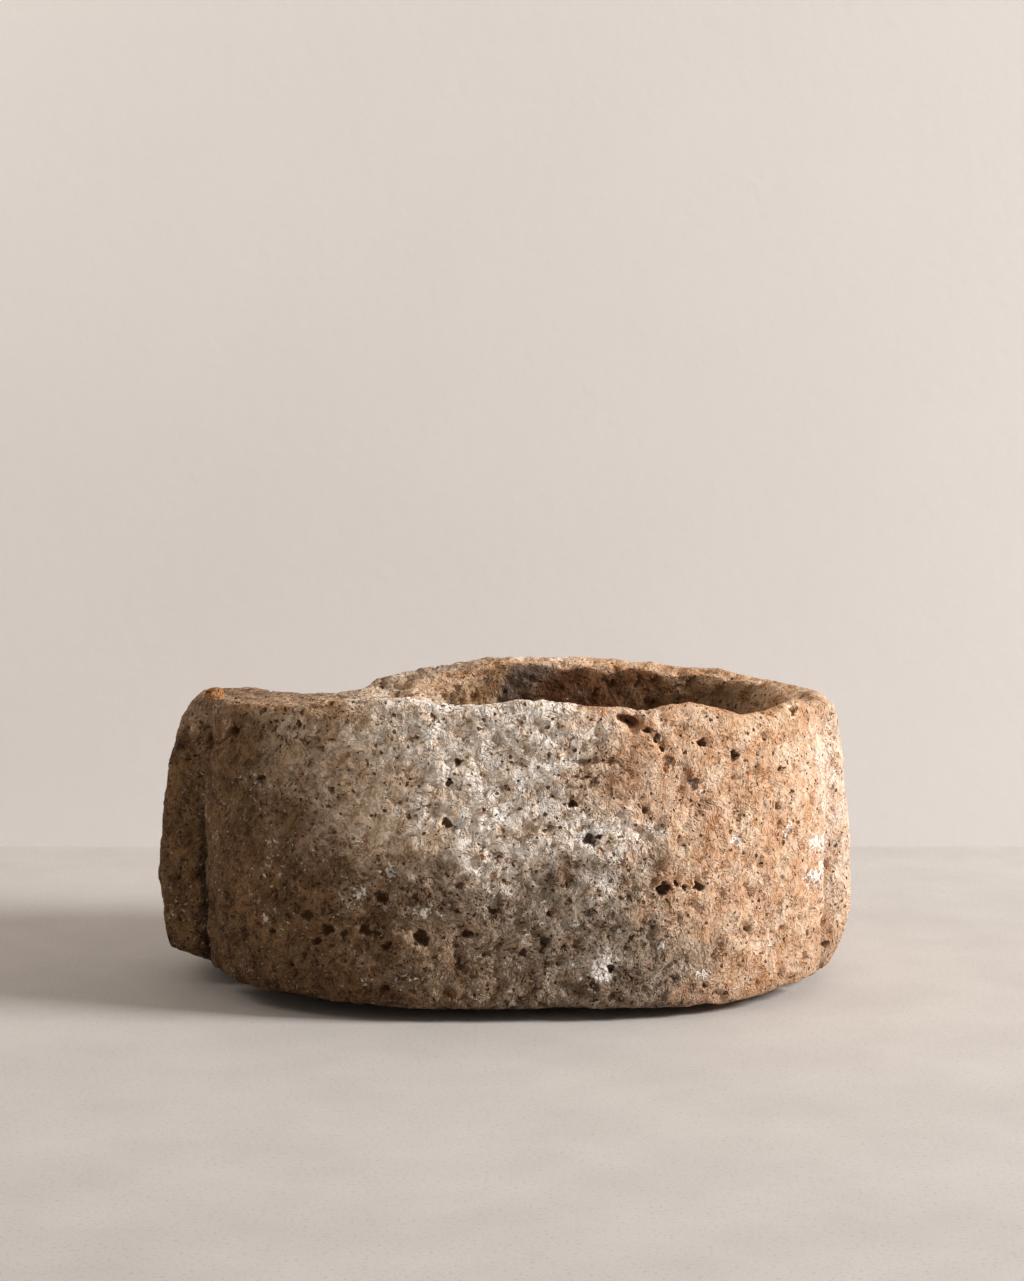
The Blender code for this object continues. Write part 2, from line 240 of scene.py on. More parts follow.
# Hollows that the photograph shows in the front: place across, height, radius and depth, in metres
FRONT_PITS = (
    (0.122, 0.103, 0.0065, 0.0060), (0.149, 0.104, 0.0045, 0.0040), (0.064, 0.144, 0.0042, 0.0035),
    (0.071, 0.145, 0.0032, 0.0030), (0.082, 0.042, 0.0042, 0.0040), (-0.064, 0.067, 0.0075, 0.0050),
    (-0.136, 0.071, 0.0055, 0.0040), (-0.152, 0.081, 0.0050, 0.0030), (-0.107, 0.073, 0.0055, 0.0040),
    (-0.189, 0.185, 0.0040, 0.0030), (-0.158, 0.229, 0.0035, 0.0030), (-0.035, 0.202, 0.0036, 0.0035),
    (-0.042, 0.187, 0.0032, 0.0030), (-0.044, 0.156, 0.0045, 0.0035), (-0.095, 0.098, 0.0055, 0.0040),
    (0.146, 0.183, 0.0048, 0.0020), (0.152, 0.215, 0.0042, 0.0035), (0.177, 0.203, 0.0042, 0.0035),
    (0.227, 0.232, 0.0040, 0.0035), (0.052, 0.171, 0.0045, 0.0035), (0.126, 0.201, 0.0052, 0.0014),
    (0.108, 0.226, 0.0032, 0.0030), (0.115, 0.219, 0.0040, 0.0030), (0.120, 0.212, 0.0030, 0.0030),
    (0.061, 0.141, 0.0026, 0.0025), (0.068, 0.140, 0.0024, 0.0025), (0.131, 0.108, 0.0030, 0.0030),
    (0.137, 0.103, 0.0028, 0.0030), (-0.145, 0.062, 0.0035, 0.0030), (-0.090, 0.060, 0.0045, 0.0035),
    (-0.028, 0.070, 0.0045, 0.0035), (-0.010, 0.088, 0.0035, 0.0030), (0.014, 0.056, 0.0040, 0.0030),
    (0.033, 0.086, 0.0035, 0.0030), (-0.212, 0.219, 0.0055, 0.0060),
)
# Lines of the cracks in the front: width, depth and the points across and up, in metres
FRONT_CRACKS = (
    (0.0028, 0.0020, ((0.053, 0.203), (0.064, 0.202), (0.070, 0.204))),
    (0.0024, 0.0020, ((0.074, 0.203), (0.088, 0.201))),
    (0.0013, 0.0006, ((0.128, 0.203), (0.136, 0.199), (0.140, 0.191), (0.144, 0.186))),
    (0.0016, 0.0006, ((0.106, 0.229), (0.116, 0.221), (0.122, 0.213))),
    (0.0016, 0.0020, ((0.053, 0.191), (0.062, 0.190), (0.072, 0.191))),
    (0.0018, 0.0025, ((-0.212, 0.219), (-0.218, 0.213), (-0.224, 0.206))),
)
# Clusters of white lime in the front: place across, height and radius, in metres
FRONT_LIME = (
    (0.064, 0.144, 0.013), (-0.034, 0.157, 0.017), (0.012, 0.189, 0.009), (0.052, 0.077, 0.007),
    (0.077, 0.046, 0.018), (0.153, 0.034, 0.012), (0.179, 0.138, 0.009), (0.245, 0.125, 0.016),
    (0.247, 0.100, 0.016), (-0.063, 0.087, 0.009), (-0.186, 0.075, 0.008), (0.222, 0.142, 0.011),
    (-0.090, 0.117, 0.012), (-0.010, 0.200, 0.010), (0.030, 0.168, 0.012), (0.120, 0.060, 0.008),
    (-0.110, 0.100, 0.010),
)
# Everything further forward than this is the front, in metres
FRONT_REACH = 0.05
# The uneven outlines of these marks: the step and reach of their waves, the pace of each wave beside that
# step, and how much each wave bends the other
RAGGED_STEP = 1.7 * MM
RAGGED_REACH = 1.2 * MM
RAGGED_PACE = (1.3, 0.8)
RAGGED_BEND = (1.7, 1.9)
# How much deeper than its number a pit is dug, and how much steeper its wall is than a plain bowl's
PIT_DEEPER = 1.25
PIT_STEEPER = 2.0

# The line of the basin's rim in plan, and the knob on the ledge, in metres
RIM_MIDDLE = (0.058, 0.004)
RIM_HALVES = (0.183, 0.146)
RIM_EXPONENT = 2.6
KNOB_PLACE = (-0.230, -0.051, 0.245)
# Middle of a brown patch in the front, and of the groove with painted shade beside the left lug in plan, in
# metres
PATCH_PLACE = (0.074, -0.172, 0.188)
GROOVE_PLACE = (-0.2385, -0.0585)

# Holes, a family a line: the size of a cell, the largest radius as a share of a cell, how many of the cells
# have a hole, and where a hole's wall begins as a share of its radius
WIDE_PITS = (30 * MM, 0.17, 0.6, 0.5)
LOW_PITS = (17 * MM, 0.21, 0.8, 0.4)
SLITS = (4.8 * MM, 0.30, 0.9, 0.2)
LONG_SLITS = (6.2 * MM, 0.30, 0.9, 0.2)
PORES = (4.6 * MM, 0.26, 0.9, 0.5)
WIDE_PORES = (7.5 * MM, 0.28, 0.6, 0.7)
PORE_RIMS = (7.5 * MM, 0.38, 0.6, 0.8)
CRUMBS = (6 * MM, 0.17, 0.55, 0.5)
# The smallest hole of a family beside its largest
LEAST_HOLE = 0.35
# The low pits set in downwards between these heights, in metres
LOW_PITS_UP = (0.13, 0.08)
# Ragged hollows: their spacing and the noise value below which they lie, and how soft their edge is
DEEP_GOUGES = (14 * MM, 0.38)
FINE_GOUGES = (6.5 * MM, 0.355)
GOUGE_EDGE = (0.05, -0.03)
# Places moved by noise for uneven outlines: the noise's spacing and how far it moves them
PIT_BEND = (5 * MM, 6 * MM)
GOUGE_BEND = (9 * MM, 8 * MM)
SHELL_BEND = (8 * MM, 7 * MM)
PORE_BEND = (3 * MM, 2.6 * MM)
# The angles about the axes by which the patterns are turned
ASKEW = (0.62, 0.47, 0.91)
# The stretch of combed patterns, and the size of the patches that are combed one way
COMBED = (1.0, 1.0, 0.33)
SLIT_PATCH = 19 * MM
LONG_SLIT_PATCH = 14 * MM
# Shifts that keep two patterns of one kind apart
LONG_SLIT_SHIFT = (0.5, 0.3, 0.7)
CRUMB_SHIFT = (0.3, 0.7, 0.2)


def noise_relief(tree, place, spacing, detail, rough):
    """Soft noise about zero."""
    scale = add(tree, MATH, {0: 1.0, 1: spacing}, operation="DIVIDE")
    made = add(tree, NOISE, {"Vector": place, "Scale": scale, "Detail": detail, "Roughness": rough})
    return add(tree, MATH, {0: made, 1: MIDDLE}, operation="SUBTRACT")


def holes(tree, place, spacing, radius_share, present_share, edge_share):
    """1 in round holes and 0 outside: one hole at most in each cell, with its own size."""
    distance = add(tree, CELLS, {"Vector": place, "Scale": 1 / spacing, "Randomness": 1.0})
    own = add(tree, SPLIT, {0: distance.node.outputs["Color"]}).node.outputs
    least = LEAST_HOLE * radius_share
    radius = add(tree, RANGE, {0: own[0], 1: 0.0, 2: 1.0, 3: least, 4: radius_share})
    inner = add(tree, MATH, {0: radius, 1: edge_share}, operation="MULTIPLY")
    wall = {0: distance, 1: inner, 2: radius, 3: 1.0, 4: 0.0}
    inside = add(tree, RANGE, wall, interpolation_type="SMOOTHSTEP")
    present = add(tree, MATH, {0: own[1], 1: present_share}, operation="LESS_THAN")
    return add(tree, MATH, {0: inside, 1: present}, operation="MULTIPLY")


def warped(tree, place, spacing, reach):
    """A place moved a little by noise, so that round things get uneven outlines."""
    push = add(tree, NOISE, {"Vector": place, "Scale": 1 / spacing, "Detail": 1.0}, 1)
    push = add(tree, VECTOR, {0: push, 1: (MIDDLE, MIDDLE, MIDDLE)}, operation="SUBTRACT")
    push = add(tree, VECTOR, {0: push, "Scale": reach}, operation="SCALE")
    return add(tree, VECTOR, {0: place, 1: push}, operation="ADD")


def askew(tree, place):
    """A place turned out of line with the axes, so that a noise's own grid shows in no flat side."""
    turn = {"Vector": place, "Rotation": ASKEW}
    return add(tree, "ShaderNodeVectorRotate", turn, rotation_type="EULER_XYZ")


def zone(tree, axis, low, high):
    """0 to 1 along a value, eased between low and high."""
    return add(tree, RANGE, {0: axis, 1: low, 2: high}, interpolation_type="SMOOTHSTEP")


def total_of(tree, first, second, share=1.0):
    """One value plus a share of another."""
    return add(tree, MATH, {0: second, 1: share, 2: first}, operation="MULTIPLY_ADD")


def product(tree, first, second):
    """Two values multiplied."""
    return add(tree, MATH, {0: first, 1: second}, operation="MULTIPLY")


def either(tree, first, second):
    """The larger of two values: a mark where one or the other lies."""
    return add(tree, MATH, {0: first, 1: second}, operation="MAXIMUM")


def pits(tree, place):
    """The stone's scattered pits, the same in the relief and in the material, with more of them low down."""
    uneven = warped(tree, askew(tree, place), *PIT_BEND)
    low = zone(tree, add(tree, SPLIT, {0: place}, 2), *LOW_PITS_UP)
    return either(tree, holes(tree, uneven, *WIDE_PITS), product(tree, holes(tree, uneven, *LOW_PITS), low))


def gouges(tree, place, spacing, least):
    """1 in ragged hollows with clear edges, where a noise is lower than a value, and 0 outside."""
    low = add(tree, NOISE, {"Vector": place, **sized(spacing, detail=3.0, rough=0.55)})
    return zone(tree, low, least + GOUGE_EDGE[0], least + GOUGE_EDGE[1])


# The relief's named inputs, in metres
SIZES = (
    ("Swell spacing", 60 * MM), ("Swell depth", 5.0 * MM),
    ("Lump spacing", 17 * MM), ("Lump depth", 8.5 * MM),
    ("Gouge depth", 2.6 * MM), ("Pit depth", 4.5 * MM), ("Pad height", 6 * MM),
)
# Detail and roughness of the swells and of the lumps
SWELL_NOISE = (1.0, 0.5)
LUMP_NOISE = (4.0, 0.55)
# The lumps get lower towards the right, between these places across, down to this share of their depth
SMOOTHER_ACROSS = (0.06, 0.16)
SMOOTHER_SHARE = 0.55
# The pad under the block has no relief below this height
PAD_FLAT = 0.5 * MM


def relief_tree():
    """Geometry Nodes that give the even mesh the stone's swells, lumps, pits and cracks.

    Each point keeps its place from before as the attribute rest, for the material's patterns.
    """
    tree = bpy.data.node_groups.new("stone_relief", "GeometryNodeTree")
    face = tree.interface
    face.new_socket("Geometry", in_out="INPUT", socket_type="NodeSocketGeometry")
    for name, value in SIZES:
        face.new_socket(name, in_out="INPUT", socket_type="NodeSocketFloat").default_value = value
    face.new_socket("Material", in_out="INPUT", socket_type="NodeSocketMaterial")
    face.new_socket("Geometry", in_out="OUTPUT", socket_type="NodeSocketGeometry")
    given = tree.nodes.new("NodeGroupInput").outputs
    place = add(tree, "GeometryNodeInputPosition")
    kept = {0: given["Geometry"], "Name": "rest", "Value": place}
    stored = add(tree, "GeometryNodeStoreNamedAttribute", kept, data_type="FLOAT_VECTOR", domain="POINT")
    turned = askew(tree, place)
    swell = noise_relief(tree, turned, given["Swell spacing"], *SWELL_NOISE)
    lump = noise_relief(tree, turned, given["Lump spacing"], *LUMP_NOISE)
    across, _, height = add(tree, SPLIT, {0: place}).node.outputs[:3]
    smoother = {0: across, 1: SMOOTHER_ACROSS[0], 2: SMOOTHER_ACROSS[1], 3: 1.0, 4: SMOOTHER_SHARE}
    lump = product(tree, lump, add(tree, RANGE, smoother))
    total = product(tree, swell, given["Swell depth"])
    total = total_of(tree, total, lump, given["Lump depth"])
    down = product(tree, pits(tree, place), given["Pit depth"])
    total = add(tree, MATH, {0: total, 1: down}, operation="SUBTRACT")
    ragged = gouges(tree, warped(tree, turned, *GOUGE_BEND), *DEEP_GOUGES)
    down = product(tree, ragged, given["Gouge depth"])
    total = add(tree, MATH, {0: total, 1: down}, operation="SUBTRACT")
    total = product(tree, total, zone(tree, height, PAD_FLAT, given["Pad height"]))
    dug = add(tree, "GeometryNodeInputNamedAttribute", {"Name": "dug"}, data_type="FLOAT")
    total = add(tree, MATH, {0: total, 1: dug}, operation="SUBTRACT")
    outwards = add(tree, "GeometryNodeInputNormal")
    move = add(tree, VECTOR, {0: outwards, "Scale": total}, operation="SCALE")
    moved = add(tree, "GeometryNodeSetPosition", {0: stored, "Offset": move})
    plain = add(tree, "GeometryNodeRealizeInstances", {0: moved})
    done = add(tree, "GeometryNodeSetMaterial", {0: plain, "Material": given["Material"]})
    tree.links.new(done, tree.nodes.new("NodeGroupOutput").inputs[0])
    return tree


def eased(share):
    """0 to 1 with soft ends, for an array of shares."""
    share = np.clip(share, 0, 1)
    return share * share * (3 - 2 * share)


def from_line(across, up, points):
    """How far each place lies from a line through points."""
    nearest = np.full(len(across), np.inf)
    for (x0, z0), (x1, z1) in zip(points, points[1:]):
        along = ((across - x0) * (x1 - x0) + (up - z0) * (z1 - z0)) / ((x1 - x0) ** 2 + (z1 - z0) ** 2)
        along = np.clip(along, 0, 1)
        away = np.hypot(across - x0 - along * (x1 - x0), up - z0 - along * (z1 - z0))
        nearest = np.minimum(nearest, away)
    return nearest


def mark_front(mesh):
    """Stores how deep the front's own hollows and cracks go, where they are dark and where lime lies."""
    places = np.empty(len(mesh.vertices) * 3, np.float32)
    mesh.vertices.foreach_get("co", places)
    across, back, up = places.reshape(-1, 3).T
    front = back < -FRONT_REACH
    # Uneven outlines: each place is moved by up to a millimetre or so
    bent = RAGGED_BEND[0] * np.sin(up / RAGGED_STEP)
    ragged = np.sin(across / RAGGED_STEP + bent) * RAGGED_REACH
    bent = RAGGED_BEND[1] * np.sin(across / RAGGED_STEP * RAGGED_PACE[1])
    sheared = np.sin(up / RAGGED_STEP * RAGGED_PACE[0] + bent) * RAGGED_REACH
    across, up = across + sheared, up + ragged
    dug = np.zeros(len(across), np.float32)
    hollow = np.full(len(across), -1, np.float32)
    lime = np.full(len(across), -1, np.float32)
    for x, z, radius, depth in FRONT_PITS:
        share = 1 - np.hypot(across - x, up - z) / radius
        hollow = np.maximum(hollow, np.where(front, share, -1))
        dug = np.maximum(dug, np.where(front, PIT_DEEPER * depth * eased(PIT_STEEPER * share), 0))
    for width, depth, points in FRONT_CRACKS:
        share = 1 - from_line(across, up, points) / width
        hollow = np.maximum(hollow, np.where(front, share, -1))
        dug = np.maximum(dug, np.where(front, depth * eased(share), 0))
    for x, z, radius in FRONT_LIME:
        share = 1 - np.hypot(across - x, up - z) / radius
        lime = np.maximum(lime, np.where(front, share, -1))
    for name, values in (("dug", dug), ("hollow", hollow), ("lime", lime)):
        stored = mesh.attributes.new(name, "FLOAT", "POINT")
        stored.data.foreach_set("value", np.ascontiguousarray(values, np.float32))


def stone_piece(material):
    """The vessel's stone."""
    body = applied(evened(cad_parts["stone_vessel"]))
    mark_front(body.data)
    relief = body.modifiers.new("relief", "NODES")
    relief.node_group = relief_tree()
    sockets = relief.node_group.interface.items_tree
    ids = {socket.name: socket.identifier for socket in sockets if socket.in_out == "INPUT"}
    for name, value in SIZES:
        relief[ids[name]] = value
    relief[ids["Material"]] = material
    applied(body)
    body.data.name = body.name = "stone"
    count = sum(len(p.vertices) - 2 for p in body.data.polygons)
    thin = body.modifiers.new("thin", "DECIMATE")
    thin.ratio = min(1, MOST_TRIANGLES / count)
    applied(body)
    body.data.shade_smooth()
    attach(body, "root")
    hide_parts("stone_vessel")


# The stone's colours, each pair from its dark to its light mottles
GREY = ("#d8c8b7", "#f3e9de")
OCHRE = ("#cfa482", "#e2c2a5")
BROWN_AND_SHADE = ("#5c432a", "#7a5d3e")
DARK = ("#786858", "#a49586")
RED = ("#946845", "#b58a63")
LEDGE = ("#b08a66", "#c8ab8e")
FLANK = ("#7c6049", "#a4876c")
CREST = ("#bd926c", "#d8b491")
SOOTY = ("#4a3c31", "#706053")
TANNED = ("#8d6f50", "#ad8f70")
RUSTY = ("#4c3019", "#6a472c")
# Its even colours: the pale right end, partly a painted highlight, the silt low in the basin, painted shade
# in the groove, the knob, painted highlight on ridges, crumbs, white lime, and painted shade in pits and
# pores
PALE_END_AND_HIGHLIGHT = "#e9d3c0"
SILT = "#86725d"
GROOVE_SHADE = "#2a1e12"
KNOB = "#ad7640"
RIDGE_HIGHLIGHT = "#c8b7a2"
CRUMB = "#e6d9c8"
LIME = "#f0e7dd"
PIT_SHADE = "#472d16"
PORE_SHADE = "#432912"
# Tints that a tone is multiplied by: towards the left, at the foot as painted shade, in the front's patch, in
# warm clouds, in shell rings, and as painted shade in the tool marks of clean and of rough stone
CREAM = "#f6e6d2"
FOOT_SHADE = "#b09c88"
PATCH = "#d0bca8"
WARM = "#f5ebdf"
RING = "#dcc3ab"
MARK_SHADE = ("#957559", "#7d5f45")

# Noises of the broad colours, and the values between which the mottles and the rust spots show. The borders
# between the colours wander with the drift by this share of it
DRIFT = (45 * MM, 5.0, 0.65)
MOTTLE = sized(26 * MM, 4.0, 0.6)
RUST = sized(24 * MM, 5.0, 0.7)
MOTTLE_EDGE = (0.34, 0.66)
RUST_EDGE = (0.54, 0.68)
WANDER = 0.16


def dyed(tree, tone, tint):
    """A colour multiplied by a tint."""
    return tinted(tree, 1.0, tone, tint, "MULTIPLY")


def laid(tree, tone, colour, where, share):
    """A tone with a colour laid over it: by a share where a value is 1, and not at all where it is 0."""
    return tinted(tree, product(tree, where, share), tone, colour)


def shaded(tree, tone, amount, least, most, low=0.0, high=1.0):
    """A colour made darker or lighter: times least where the amount is low, times most where it is high."""
    return dyed(tree, tone, add(tree, RANGE, {0: amount, 1: low, 2: high, 3: least, 4: most}))


def weaker(tree, mark, where, share):
    """A mark that goes down to a share of itself where a value is 1."""
    return product(tree, mark, add(tree, RANGE, {0: where, 3: 1.0, 4: share}))


def leaning(tree, x, z, drift, lean, wander=WANDER):
    """A value along the stone for borders that lean with the height and wander with the drift."""
    return total_of(tree, total_of(tree, x, z, lean), drift, wander)


def oval(tree, x, y):
    """Below 1 inside the line of the basin's rim and above 1 outside it."""
    far = []
    for axis, middle, half in zip((x, y), RIM_MIDDLE, RIM_HALVES):
        off = add(tree, MATH, {0: axis, 1: middle}, operation="SUBTRACT")
        off = add(tree, MATH, {0: off}, operation="ABSOLUTE")
        off = add(tree, MATH, {0: off, 1: half}, operation="DIVIDE")
        far.append(add(tree, MATH, {0: off, 1: RIM_EXPONENT}, operation="POWER"))
    return add(tree, MATH, {0: far[0], 1: far[1]}, operation="ADD")


def from_groove(tree, x, y):
    """How far a place lies from the groove that gets painted shade, in plan."""
    squares = []
    for axis, middle in zip((x, y), GROOVE_PLACE):
        off = add(tree, MATH, {0: axis, 1: middle}, operation="SUBTRACT")
        squares.append(product(tree, off, off))
    away = add(tree, MATH, {0: squares[0], 1: squares[1]}, operation="ADD")
    return add(tree, MATH, {0: away}, operation="SQRT")


def basin_stain(tree, x, y, level, drift, mottle):
    """The basin's stains from left to right: tan, soot, rust and tan again, with silt at the bottom."""
    tanned = tinted(tree, mottle, *TANNED)
    across = total_of(tree, total_of(tree, x, drift, share=0.30), y, share=0.15)
    stain = tinted(tree, zone(tree, across, -0.025, 0.015), tanned, tinted(tree, mottle, *SOOTY))
    stain = tinted(tree, zone(tree, across, 0.055, 0.095), stain, tinted(tree, mottle, *RUSTY))
    stain = laid(tree, stain, tanned, zone(tree, across, 0.130, 0.200), share=0.6)
    return laid(tree, stain, SILT, zone(tree, level, 0.140, 0.090), share=0.7)


def zones(tree, place):
    """The stone's broad colours: brown left end, partly painted shade, grey middle, ochre right, stained
    basin.

    The two numbers of a zone are where it begins and where it is full, in metres across, back or up, or away
    from a point. For the rim they are values of oval(). After the tone come values that are 1 inside the
    basin, at the right, at the left and where the stone is rough.
    """
    x, y, z = add(tree, SPLIT, {0: place}).node.outputs[:3]
    turned = askew(tree, place)
    drift = noise_relief(tree, turned, *DRIFT)
    mottle = zone(tree, add(tree, NOISE, {"Vector": turned, **MOTTLE}), *MOTTLE_EDGE)
    rust = add(tree, NOISE, {"Vector": turned, **RUST}, 1)
    rust = zone(tree, add(tree, SPLIT, {0: rust}, 1), *RUST_EDGE)
    level = total_of(tree, z, drift, WANDER)
    towards_left = leaning(tree, x, z, drift, lean=0.55)
    low = zone(tree, level, 0.133, 0.104)
    right = zone(tree, leaning(tree, x, z, drift, lean=0.34), 0.125, 0.180)
    left = zone(tree, towards_left, 0.030, -0.105)
    tan = zone(tree, towards_left, 0.060, -0.020)
    rough = either(tree, low, tan)

    tone = tinted(tree, low, tinted(tree, mottle, *GREY), tinted(tree, mottle, *DARK))
    tone = laid(tree, tone, tinted(tree, mottle, *RED), rust, share=0.4)
    tone = tinted(tree, right, tone, tinted(tree, mottle, *OCHRE))
    # A pale cream right end, partly a painted highlight where the light falls hardest
    pale_end = zone(tree, leaning(tree, x, z, drift, lean=0.2, wander=0.08), 0.260, 0.300)
    tone = laid(tree, tone, PALE_END_AND_HIGHLIGHT, pale_end, share=0.7)
    tone = laid(tree, tone, dyed(tree, tone, CREAM), tan, share=0.8)
    # The left end's brown: soil stain together with painted shade where the light falls off
    tone = tinted(tree, left, tone, tinted(tree, mottle, *BROWN_AND_SHADE))
    # Painted shade towards the foot: darker below 6 cm, darkest at 1 cm
    tone = laid(tree, tone, dyed(tree, tone, FOOT_SHADE), zone(tree, level, 0.060, 0.010), share=0.6)
    ledge = product(tree, zone(tree, z, 0.230, 0.237), zone(tree, x, -0.10, -0.13))
    tone = tinted(tree, ledge, tone, tinted(tree, mottle, *LEDGE))
    patch = add(tree, VECTOR, {0: place, 1: PATCH_PLACE}, "Value", operation="DISTANCE")
    patch = zone(tree, total_of(tree, patch, drift, share=0.10), 0.045, 0.015)
    tone = laid(tree, tone, dyed(tree, tone, PATCH), patch, share=0.8)
    flank = product(tree, zone(tree, level, 0.200, 0.222), zone(tree, y, -0.13, -0.10))
    flank = product(tree, flank, zone(tree, total_of(tree, x, drift, share=0.20), 0.030, -0.010))
    tone = laid(tree, tone, tinted(tree, mottle, *FLANK), flank, share=0.85)
    rim = oval(tree, x, y)
    crest = product(tree, zone(tree, z, 0.200, 0.225), zone(tree, rim, 1.6, 1.2))
    tone = laid(tree, tone, tinted(tree, mottle, *CREST), crest, share=0.7)
    within = zone(tree, total_of(tree, rim, drift, share=0.5), 1.08, 0.96)
    within = product(tree, within, zone(tree, total_of(tree, x, drift, share=0.12), 0.230, 0.195))
    tone = tinted(tree, within, tone, basin_stain(tree, x, y, level, drift, mottle))
    # Painted shade along the groove beside the left lug, full below 12 cm and fading out by 18.5 cm
    groove_shade = zone(tree, total_of(tree, from_groove(tree, x, y), drift, share=0.02), 0.012, 0.006)
    groove_shade = product(tree, groove_shade, zone(tree, level, 0.185, 0.120))
    tone = laid(tree, tone, GROOVE_SHADE, groove_shade, share=0.8)
    knob = add(tree, VECTOR, {0: place, 1: KNOB_PLACE}, "Value", operation="DISTANCE")
    return tinted(tree, zone(tree, knob, 0.017, 0.010), tone, KNOB), within, right, left, rough


def combed(tree, place, patch):
    """A place drawn out one way in each patch and another way in the next."""
    own = add(tree, CELLS, {"Vector": place, "Scale": 1 / patch, "Randomness": 1.0}, "Color")
    turn = add(tree, VECTOR, {0: own, "Scale": 2 * math.pi}, operation="SCALE")
    turn = {"Vector": place, "Rotation": turn}
    turned = add(tree, "ShaderNodeVectorRotate", turn, rotation_type="EULER_XYZ")
    return add(tree, VECTOR, {0: turned, 1: COMBED}, operation="MULTIPLY")


def crests(tree, value, width):
    """1 on the lines where a noise passes its middle and 0 off them: thin curly ridges."""
    off = add(tree, MATH, {0: value, 1: MIDDLE}, operation="SUBTRACT")
    off = add(tree, MATH, {0: off}, operation="ABSOLUTE")
    return zone(tree, off, width, 0.0)


# Noises of the fine marks
STROKES = sized(3.4 * MM, 2.0)
GRAIN = sized(1.5 * MM, 1.0, 0.7)
COARSE = sized(9 * MM, 3.0, 0.55)
CURLS = sized(6.0 * MM, 1.0)
WORN = sized(11 * MM, 2.0)
WARM_CLOUDS = sized(13 * MM, 4.0, 0.65)
RINGS = sized(10 * MM, 1.0, 0.4)
PATCHY = sized(32 * MM, 2.0)
CHALK = sized(45 * MM, 3.0)
BITS = sized(4.2 * MM, 2.0, 0.6)
HOLLOW_NOISE = (5 * MM, 3.0, 0.6)
# How wide the tool hairs and the shell's curls are on their noises, and how many turns the shell rings make
HAIR_WIDTH = 0.09
CURL_WIDTH = 0.030
RING_TURNS = 2 * math.pi * 9
# The depth at which the painted shade in a hollow is darkest
DARKEST_DEPTH = 3.0 * MM


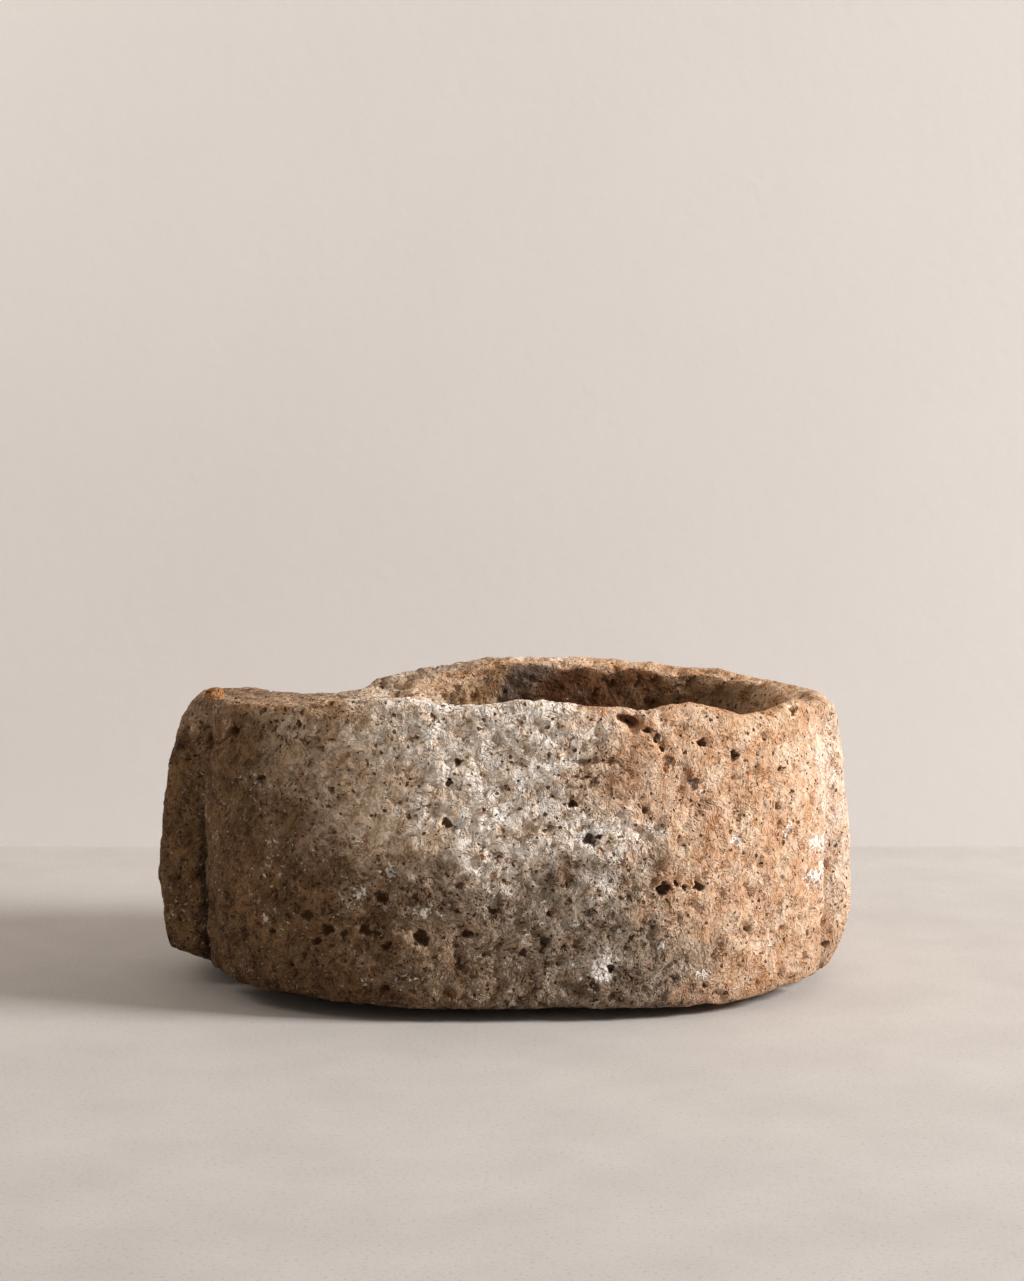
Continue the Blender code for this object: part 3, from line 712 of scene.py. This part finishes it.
def limestone(tree, shader):
    """The stone: buff-grey shell limestone, roughed out with a point and a chisel and weathered outdoors.

    The eye gets a dry matt surface that is full of small dark pores and thin tool strokes, with curly pale
    lines where shells were cut, white lime in the hollows, brown soil stain at the left and warm iron stain
    at the right. Painted shade darkens the pores, pits, slits, the left end and the low sides of lumps and
    strokes, and painted highlights lighten ridges, hairs and rims. Pores are 1 to 4 mm wide and strokes 3 to
    10 mm long, as in such stone. The grain, half a millimetre in the real stone, is drawn at 1.5 mm so that
    it shows at the photograph's distance.
    """
    place = add(tree, "ShaderNodeAttribute", {}, "Vector", attribute_name="rest")
    hollow = add(tree, "ShaderNodeAttribute", {}, "Fac", attribute_name="hollow")
    lime = add(tree, "ShaderNodeAttribute", {}, "Fac", attribute_name="lime")
    depth = add(tree, "ShaderNodeAttribute", {}, "Fac", attribute_name="dug")
    turned = askew(tree, place)
    bent = warped(tree, turned, *SHELL_BEND)
    fine = warped(tree, turned, *PORE_BEND)
    drawn = combed(tree, bent, SLIT_PATCH)
    elsewhere = add(tree, VECTOR, {0: bent, 1: LONG_SLIT_SHIFT}, operation="ADD")
    elsewhere = combed(tree, elsewhere, LONG_SLIT_PATCH)
    tone, within, right, left, rough = zones(tree, place)

    # Tool strokes and slits, with hairs along the strokes, and the gouges between them
    slit = either(tree, holes(tree, drawn, *SLITS), holes(tree, elsewhere, *LONG_SLITS))
    stroke = add(tree, NOISE, {"Vector": drawn, **STROKES})
    hair = crests(tree, stroke, HAIR_WIDTH)
    hair = weaker(tree, weaker(tree, hair, left, share=0.30), right, share=0.50)
    stroke = weaker(tree, zone(tree, stroke, 0.36, 0.62), right, share=0.6)
    gouge = weaker(tree, gouges(tree, bent, *FINE_GOUGES), right, share=0.25)
    patchy = add(tree, NOISE, {"Vector": turned, **PATCHY})
    patchy = add(tree, RANGE, {0: patchy, 1: 0.43, 2: 0.57, 3: 0.35, 4: 1.0})
    marks = product(tree, either(tree, slit, gouge), patchy)
    # The stone's own body: grain, coarse lumps, warm clouds, and shells cut across as curls and rings
    grain = add(tree, NOISE, {"Vector": turned, **GRAIN})
    coarse = add(tree, NOISE, {"Vector": bent, **COARSE})
    warm = zone(tree, add(tree, NOISE, {"Vector": bent, **WARM_CLOUDS}), 0.38, 0.58)
    worn = add(tree, SPLIT, {0: add(tree, NOISE, {"Vector": turned, **WORN}, 1)}).node.outputs
    ridge = crests(tree, add(tree, NOISE, {"Vector": bent, **CURLS}), CURL_WIDTH)
    ridge = product(tree, ridge, zone(tree, worn[0], 0.44, 0.56))
    rings = product(tree, add(tree, NOISE, {"Vector": bent, **RINGS}), RING_TURNS)
    rings = zone(tree, add(tree, MATH, {0: rings}, operation="SINE"), -0.2, 0.9)
    rings = product(tree, rings, zone(tree, worn[1], 0.54, 0.62))
    # Pores with pale rims and the relief's pits and hollows with pale edges, the rims and edges painted
    # highlights
    pore = either(tree, holes(tree, fine, *PORES), holes(tree, fine, *WIDE_PORES))
    lined = product(tree, holes(tree, fine, *PORE_RIMS), 0.5)
    uneven = total_of(tree, hollow, noise_relief(tree, turned, *HOLLOW_NOISE), share=1.3)
    dug = either(tree, zone(tree, uneven, 0.04, 0.24), pits(tree, place))
    depth = add(tree, RANGE, {0: depth, 1: 0.0, 2: DARKEST_DEPTH, 3: 0.50, 4: 0.90})
    edge = zone(tree, uneven, -0.50, -0.05)
    # White lime outside the basin, in crumbs and in flecks that gather in chalky places and clusters
    crumb = add(tree, VECTOR, {0: fine, 1: CRUMB_SHIFT}, operation="ADD")
    crumb = holes(tree, crumb, *CRUMBS)
    chalk = add(tree, NOISE, {"Vector": turned, **CHALK})
    bits = add(tree, NOISE, {"Vector": bent, **BITS})
    fleck = total_of(tree, total_of(tree, bits, ridge, share=0.12), chalk, share=0.55)
    fleck = total_of(tree, fleck, either(tree, lime, 0.0), share=0.42)
    outside = add(tree, MATH, {0: 1.0, 1: within}, operation="SUBTRACT")
    fleck = product(tree, zone(tree, fleck, 0.97, 1.08), outside)
    fleck = weaker(tree, fleck, left, share=0.6)

    # Painted shade in the hollows of the coarse lumps and painted light on their tops, following the bump
    tone = shaded(tree, tone, coarse, 0.92, 1.07, low=0.34, high=0.60)
    tone = tinted(tree, warm, dyed(tree, tone, WARM), tone)
    tone = tinted(tree, rings, tone, dyed(tree, tone, RING))
    tone = shaded(tree, tone, grain, 0.84, 1.14, low=0.30, high=0.70)
    # Painted highlights: lighter on the curls' ridges, and pale on ridges and hairs where the stone is rough
    tone = shaded(tree, tone, ridge, 1.0, 1.30)
    pale = total_of(tree, ridge, hair, share=0.5)
    tone = tinted(tree, product(tree, pale, product(tree, rough, 0.40)), tone, RIDGE_HIGHLIGHT)
    # Painted shade in the slits and gouges, darker where the stone is rough
    deep = dyed(tree, tone, tinted(tree, rough, *MARK_SHADE))
    tone = tinted(tree, weaker(tree, marks, left, share=0.80), tone, deep)
    # Painted shade and light across the strokes as in the bump, and painted highlights on hairs and on the
    # rims
    # of pits and pores: what the stone's tone is multiplied by off each of these marks and on it
    shades = ((stroke, 0.86, 1.12), (hair, 0.94, 1.26), (edge, 1.0, 1.32), (lined, 1.0, 1.35))
    for mark, least, most in shades:
        tone = shaded(tree, tone, mark, least, most)
    tone = laid(tree, tone, CRUMB, crumb, share=0.50)
    tone = tinted(tree, fleck, tone, LIME)
    # Painted shade in the pits and hollows, darker the deeper they are dug, and in the pores
    tone = laid(tree, tone, PIT_SHADE, dug, depth)
    tone = laid(tree, tone, PORE_SHADE, pore, share=0.9)

    # How far each mark stands out of the stone in the bump, or with a minus goes into it, in metres
    rises = (
        (weaker(tree, coarse, right, share=0.60), 4.4 * MM), (ridge, 0.8 * MM), (rings, -0.4 * MM),
        (marks, -1.6 * MM), (stroke, 1.2 * MM), (hair, 0.4 * MM), (fleck, 0.5 * MM),
        (pore, -1.6 * MM), (dug, -1.5 * MM),
    )
    high = product(tree, grain, 0.5 * MM)
    for mark, rise in rises:
        high = total_of(tree, high, mark, rise)
    bump = add(tree, "ShaderNodeBump", {"Strength": 1.0, "Distance": 1.0, "Height": high})
    finished(tree, shader, tone, bump, roughness=0.92, specular=0.2)


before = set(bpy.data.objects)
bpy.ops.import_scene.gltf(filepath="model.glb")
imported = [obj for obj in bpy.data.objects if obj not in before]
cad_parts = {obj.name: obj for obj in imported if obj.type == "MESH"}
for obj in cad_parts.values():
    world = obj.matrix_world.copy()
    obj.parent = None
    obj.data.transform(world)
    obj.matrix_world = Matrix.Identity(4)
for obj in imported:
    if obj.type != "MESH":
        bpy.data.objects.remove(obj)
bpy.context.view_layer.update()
bpy.context.scene.view_settings.view_transform = "Standard"
camera()
lights()
floor_and_wall()
stone_piece(surface("shell_limestone", limestone))
